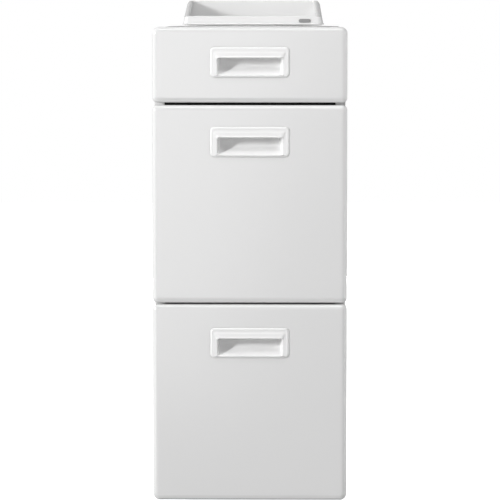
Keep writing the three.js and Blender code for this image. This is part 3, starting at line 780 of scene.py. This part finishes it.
def ball_cages(drawer, side, sign):
    """A strip with a row of balls in each of the two races between the inner and the middle member."""
    low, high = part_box(f"{drawer}_{side}_slide_inner")
    mid_low, mid_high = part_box(f"{drawer}_{side}_slide_middle")
    middle_z = (low.z + high.z) / 2
    race = ((high.z - low.z) / 2 + (mid_high.z - mid_low.z) / 2 - SLIDE_SHEET) / 2
    race_x = sign * (min(abs(mid_low.x), abs(mid_high.x)) + RACE_OFFSET)
    count = int((high.y - low.y) / 2 / BALL_PITCH)
    half_length = count * BALL_PITCH / 2
    strip = outline(CAGE["half_width"], half_length, CAGE["corner"], corner_steps=3)
    bm = bmesh.new()
    for z in (middle_z - race, middle_z + race):
        for k in range(count):
            place = (race_x, low.y + BALL_PITCH * (k + 0.5), z)
            turn(bm, ball_profile(), place, (sign, 0, 0), segments=10)
        cage = Loft(bm)
        for height in (-CAGE["thickness"] / 2, CAGE["thickness"] / 2):
            cage.ring(lying(strip, z + height, (race_x, low.y + half_length)))
            cage.fill()
    add_piece(f"{drawer}_{side}_ball_cages", bm, f"{drawer}_slide_middles", "zinc_steel", sharp=50)


def bumper(drawer, side):
    node = f"{drawer}_{side}_bumper"
    low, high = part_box(node)
    bm = bmesh.new()
    turn(bm, BUMPER, ((low.x + high.x) / 2, low.y, (low.z + high.z) / 2), BACKWARD, segments=24)
    add_piece(f"{drawer}_{side}_rubber_button", bm, body_of_drawer(drawer), "rubber", (node,))


def levelling_foot(corner):
    node = f"{corner}_levelling_foot"
    low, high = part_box(node)
    place = ((low.x + high.x) / 2, (low.y + high.y) / 2, low.z)
    body = f"{corner}_foot"
    bm = bmesh.new()
    turn(bm, FOOT_PAD, place, UP, segments=36)
    add_piece(f"{corner}_foot_pad", bm, body, "foot_plastic", (node,))
    bm = bmesh.new()
    turn(bm, HEX_NUT, place, UP, segments=6)
    turn(bm, stud_profile((high.z - low.z) / MM), place, UP)
    add_piece(f"{corner}_foot_stud", bm, body, "zinc_steel", sharp=30)


# ---------- things kept in the drawers ----------
def carve(piece, cutter):
    """Cuts a closed bmesh out of a piece and keeps the result as its mesh."""
    mesh = bpy.data.meshes.new("cutter")
    bmesh.ops.recalc_face_normals(cutter, faces=cutter.faces)
    cutter.to_mesh(mesh)
    cutter.free()
    tool = put("cutter", mesh)
    cut = piece.modifiers.new("cut", "BOOLEAN")
    cut.object = tool
    cut.solver = "EXACT"
    piece.modifiers.move(len(piece.modifiers) - 1, 0)
    # only the cut goes into the mesh, so the even normals are off meanwhile
    weighted = piece.modifiers["even_normals"]
    weighted.show_viewport = False
    graph = bpy.context.evaluated_depsgraph_get()
    graph.update()
    piece.data = bpy.data.meshes.new_from_object(piece.evaluated_get(graph))
    weighted.show_viewport = True
    piece.modifiers.remove(cut)
    bpy.data.objects.remove(tool)
    bpy.data.meshes.remove(mesh)


BIN = {"rim": 7 * MM, "rim_roll": 2.5 * MM, "wall": 2.5 * MM, "lip_roll": 1.7 * MM, "taper": 0.1}
BIN_CORNER = 30 * MM
BIN_FOOT = 12 * MM  # the rounded lower edge
# (how far inside the outer face, how far below the top) in mm of the turned-out rim and its lip turned down
BIN_RIM = ((-0.6, 5.5), (-1.6, 4.4), (-5, 4.2), (-5.2, 9), (-7, 9))
# the plain walls' rings start this far above the foot and end this far below the top
OUTER_WALL = {"bottom": 30 * MM, "top": 9 * MM}
INNER_WALL = {"bottom": 40 * MM, "top": 20 * MM}
HAND_SLOT = {"half_width": 45 * MM, "half_height": 11 * MM, "corner": 10.9 * MM, "drop": 32 * MM}
CUT_MARGIN = 5 * MM


def lift_out_bin():
    node = "lift_out_bin"
    low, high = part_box(node)
    middle = (0.0, (low.y + high.y) / 2)
    half_w = (high.x - low.x) / 2 - BIN["rim"]
    half_d = (high.y - low.y) / 2 - BIN["rim"]
    height = high.z - low.z
    wall, rim_roll, lip_roll = BIN["wall"], BIN["rim_roll"], BIN["lip_roll"]

    def ring(inset, z):
        scale = 1 - BIN["taper"] * (1 - z / height)
        points = outline(half_w * scale - inset, half_d * scale - inset, BIN_CORNER * scale - inset)
        return lying(points, low.z + z, middle)

    loft = Loft()
    loft.ring(ring(BIN_FOOT, 0))
    loft.fill()
    loft.rings(ring(BIN_FOOT * (1 - rise), BIN_FOOT * inset) for inset, rise in list(arc(6))[1:])
    loft.rings(ring(0, z) for z in spread(BIN_FOOT + OUTER_WALL["bottom"], height - OUTER_WALL["top"], 4))
    loft.rings(ring(inset * MM, height - drop * MM) for inset, drop in BIN_RIM)
    loft.rings(ring(rim_roll * inset - BIN["rim"], height - rim_roll * (1 - rise)) for inset, rise in arc(4))
    loft.ring(ring(wall - lip_roll, height))
    for inset, rise in list(arc(3))[1:]:
        loft.ring(ring(wall - lip_roll * (1 - rise), height - lip_roll * inset))
    loft.rings(ring(wall, z) for z in spread(height - INNER_WALL["top"], BIN_FOOT + INNER_WALL["bottom"], 4))
    loft.rings(ring(wall + BIN_FOOT * inset, wall + BIN_FOOT * (1 - rise)) for inset, rise in arc(6))
    loft.fill()
    tub = add_piece("laundry_bin", loft.bm, "bottom_drawer", "pale_plastic", (node,), sharp=50)
    slot = outline(HAND_SLOT["half_width"], HAND_SLOT["half_height"], HAND_SLOT["corner"])
    cutter = Loft()
    for y in (low.y - CUT_MARGIN, high.y + CUT_MARGIN):
        cutter.ring(facing(slot, y, (0.0, high.z - HAND_SLOT["drop"])))
        cutter.fill()
    carve(tub, cutter.bm)


ORGANISER = {"wall": 2 * MM, "front_pocket": 88 * MM, "corner": 6 * MM, "base_roll": 2 * MM, "edge": 0.8 * MM}
POCKET = {"fillet": 5 * MM, "corner": 8 * MM}
POCKET_RIM = ((-0.5, 0), (-0.15, 0.3), (0, 0.9))  # (inset, depth below the top) in mm


def organiser_pocket(loft, span_x, span_y, bottom_z, top_z):
    """Adds one pocket with rounded corners and a rounded floor, and returns its rim."""
    (x0, x1), (y0, y1) = span_x, span_y
    fillet = POCKET["fillet"]

    def ring(inset, z):
        half_sizes = ((x1 - x0) / 2 - inset, (y1 - y0) / 2 - inset)
        points = outline(*half_sizes, POCKET["corner"] - inset, corner_steps=6)
        return lying(points, z, ((x0 + x1) / 2, (y0 + y1) / 2))

    loft.restart()
    loft.rings(ring(inset * MM, top_z - below * MM) for inset, below in POCKET_RIM)
    loft.rings(ring(fillet * inset, bottom_z + fillet * (1 - rise)) for inset, rise in arc(5))
    loft.fill()
    return loft.first


def organiser():
    """A tray with one pocket across the front and two behind it."""
    node = "drawer_organiser"
    low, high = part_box(node)
    wall, base_roll, edge = ORGANISER["wall"], ORGANISER["base_roll"], ORGANISER["edge"]
    half_w = (high.x - low.x) / 2
    half_d = (high.y - low.y) / 2
    height = high.z - low.z

    def outer(inset, z):
        points = outline(half_w - inset, half_d - inset, ORGANISER["corner"] - inset, corner_steps=6)
        return lying(points, low.z + z, (0.0, (low.y + high.y) / 2))

    loft = Loft()
    loft.ring(outer(base_roll, 0))
    loft.fill()
    loft.rings(outer(base_roll * (1 - rise), base_roll * inset) for inset, rise in list(arc(3))[1:])
    loft.rings(outer(edge * inset, height - edge * (1 - rise)) for inset, rise in arc(3))
    rims = [loft.last]
    split_y = low.y + wall + ORGANISER["front_pocket"]
    front = (low.y + wall, split_y)
    rear = (split_y + wall, high.y - wall)
    pockets = (
        ((low.x + wall, high.x - wall), front),
        ((low.x + wall, -wall / 2), rear),
        ((wall / 2, high.x - wall), rear),
    )
    for span_x, span_y in pockets:
        rims.append(organiser_pocket(loft, span_x, span_y, low.z + wall, high.z))
    edges = [loft.bm.edges.get((a, b)) for rim in rims for a, b in zip(rim, rim[1:] + rim[:1])]
    bmesh.ops.triangle_fill(loft.bm, use_beauty=True, edges=edges)
    add_piece("organiser_tray", loft.bm, "top_drawer", "pale_plastic", (node,), sharp=50)


# ---------- carried-over CAD nodes ----------
ARRIS = 0.4 * MM
ARRIS_ANGLE = 35  # edges sharper than this are rounded
ENAMELLED = ("left_side_panel", "right_side_panel", "back_panel", "front_top_rail", "front_bottom_rail")
# the divider rails behind the gaps between fronts are painted near-black: painted shade that makes the gaps
# look dark
PAINTED_GAP_SHADE_RAILS = ("upper_divider_rail", "lower_divider_rail")
ZINC_PLATED = ("base_pan", *(f"{corner}_upright" for corner in CORNERS))


def soften(node, look, bevel=ARRIS):
    """Gives a CAD node its material, rounded arrises and even shading."""
    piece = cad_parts[node]
    piece.data.materials.clear()
    piece.data.materials.append(LOOKS[look])
    weld = piece.modifiers.new("weld", "WELD")
    weld.merge_threshold = 0.01 * MM
    rounding = piece.modifiers.new("arris", "BEVEL")
    rounding.width = bevel
    rounding.segments = 2
    rounding.limit_method = "ANGLE"
    rounding.angle_limit = math.radians(ARRIS_ANGLE)
    for polygon in piece.data.polygons:
        polygon.use_smooth = True
    even_normals(piece)


# ---------- stage ----------
FOOT_TRAVEL = 12 * MM
FLOOR_GAP = 0.5 * MM
FLOOR_HALF = 9  # metres
WORLD_FILL = 0.02  # a faint light from all around
# how bright the white surroundings look in reflections and to the camera
PAPER = (("Is Glossy Ray", 0.35), ("Is Camera Ray", 1.0))
MIDDLE = (0, -0.35, 0.6)  # about the middle of the fronts
CAMERA_LENS = 207.2
CAMERA_PLACE = (0.074, -5.77, 0.998)  # y is from the fronts' face
CAMERA_TARGET = (0.0005, 0, 0.5177)


def floor():
    """White ground just under the feet's lowest reach, clear from below so that the feet can be seen."""
    bm = bmesh.new()
    corners = ((-1, -1), (1, -1), (1, 1), (-1, 1))
    z = -FOOT_TRAVEL - FLOOR_GAP
    bm.faces.new([bm.verts.new((sx * FLOOR_HALF, sy * FLOOR_HALF, z)) for sx, sy in corners])
    mesh = bpy.data.meshes.new("studio_floor")
    bm.to_mesh(mesh)
    bm.free()
    piece = put("studio_floor", mesh)
    look = Look("studio_floor", grey(0.85), roughness=0.9)
    feed(look.shader, {"Emission Color": WHITE, "Emission Strength": 1.0, "Specular IOR Level": 0.0})
    side = look.tree.nodes.new("ShaderNodeNewGeometry").outputs["Backfacing"]
    clear = look.tree.nodes.new("ShaderNodeBsdfTransparent").outputs["BSDF"]
    inputs = {"Fac": side, 1: look.shader.outputs["BSDF"], 2: clear}
    mix = add_node(look.tree, "ShaderNodeMixShader", inputs)
    feed(look.tree.nodes["Material Output"], {"Surface": mix.outputs["Shader"]})
    mesh.materials.append(look.material)
    piece.visible_diffuse = False
    piece.visible_glossy = False
    piece.visible_shadow = False


def aim(piece, target):
    piece.rotation_euler = (Vector(target) - piece.location).to_track_quat("-Z", "Y").to_euler()


def soft_box(name, place, target, width, height, radiance):
    """A rectangular light. Its size sets how much it lights, and radiance how bright it looks."""
    data = bpy.data.lights.new(name, "AREA")
    data.energy = radiance * math.pi * width * height
    data.shape = "RECTANGLE"
    data.size = width
    data.size_y = height
    lamp = put(name, data)
    lamp.location = place
    lamp.visible_camera = False
    aim(lamp, target)
    return lamp


def surroundings():
    """A dim white fill, with white paper all around for reflections and for the camera."""
    world = bpy.data.worlds.new("studio")
    bpy.context.scene.world = world
    world.use_nodes = True
    tree = world.node_tree
    fill = tree.nodes["Background"]
    feed(fill, {"Strength": WORLD_FILL, "Color": WHITE})
    path = tree.nodes.new("ShaderNodeLightPath")
    shader = fill.outputs["Background"]
    for ray, strength in PAPER:
        paper = add_node(tree, "ShaderNodeBackground", {"Color": WHITE, "Strength": strength})
        inputs = {"Fac": path.outputs[ray], 1: shader, 2: paper.outputs["Background"]}
        shader = add_node(tree, "ShaderNodeMixShader", inputs).outputs["Shader"]
    feed(tree.nodes["World Output"], {"Surface": shader})


def lights():
    """Each soft box is given by its name, place, target, width, height and radiance."""
    # the key is tall and narrow, so the grip lips' shadows are soft below and crisp at the side
    soft_box("key", (-7.7, -4.8, 2.8), MIDDLE, 0.5, 1.5, 245)
    # a tall panel beside the camera, whose edge shows as the soft sheen down the left of the fronts
    panel = soft_box("panel", (-1.12, -6.6, 0.85), (-1.12, 0, 0.85), 2.4, 2.7, 2.65)
    panel.rotation_euler.rotate_axis("Z", math.radians(-10))
    soft_box("overhead", (0, -1.4, 2.9), (0, -0.3, 0.9), 1.4, 1.0, 4.6)
    soft_box("right_wall", (2.6, -0.9, 0.9), (0, -0.2, 0.6), 2.6, 2.6, 2.05)
    soft_box("left_wall", (-2.6, -0.9, 0.9), (0, -0.2, 0.6), 2.6, 2.6, 1.1)
    soft_box("ceiling", (0, 0.7, 2.8), (0, 0.2, 1.0), 1.4, 1.4, 1.2)
    soft_box("bounce", (0, -2.6, -5.0), MIDDLE, 5.0, 3.0, 1.8)
    soft_box("rear", (-0.6, 4.6, -0.5), (0, 0.2, 0.5), 2.4, 2.4, 5.0)


def camera():
    face = Vector((0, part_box("middle_front_skin")[0].y, 0))
    data = bpy.data.cameras.new("camera")
    data.sensor_width = 36
    data.lens = CAMERA_LENS
    data.clip_end = 60
    eye = put("camera", data)
    eye.location = Vector(CAMERA_PLACE) + face
    aim(eye, Vector(CAMERA_TARGET) + face)
    bpy.context.scene.camera = eye


# ---------- put it together ----------
camera()
bpy.context.scene.view_settings.view_transform = "Standard"
surroundings()
lights()
floor()
for drawer in DRAWERS:
    front_skin(drawer)
    front_liner(drawer)
    finger_pull(drawer)
    soften(f"{drawer}_drawer_box", "white_enamel")
    for side, sign in SIDES:
        for member in ("outer", "middle", "inner"):
            soften(f"{drawer}_{side}_slide_{member}", "zinc_steel")
        slide_fasteners(drawer, side, sign)
        ball_cages(drawer, side, sign)
        bumper(drawer, side)
    front_pan_screws(drawer)
top_lid()
tray()
lift_out_bin()
organiser()
back_panel_screws()
for corner in CORNERS:
    levelling_foot(corner)
# the divider rails get the near-black painted shade for the gaps between the fronts
for look, nodes in (("white_enamel", ENAMELLED), ("painted_gap_shade", PAINTED_GAP_SHADE_RAILS), ("zinc_steel", ZINC_PLATED)):
    for node in nodes:
        soften(node, look)
soften("tray_badge", "badge_metal", 0.3 * MM)
soften("drawer_divider", "pale_plastic", 0.6 * MM)
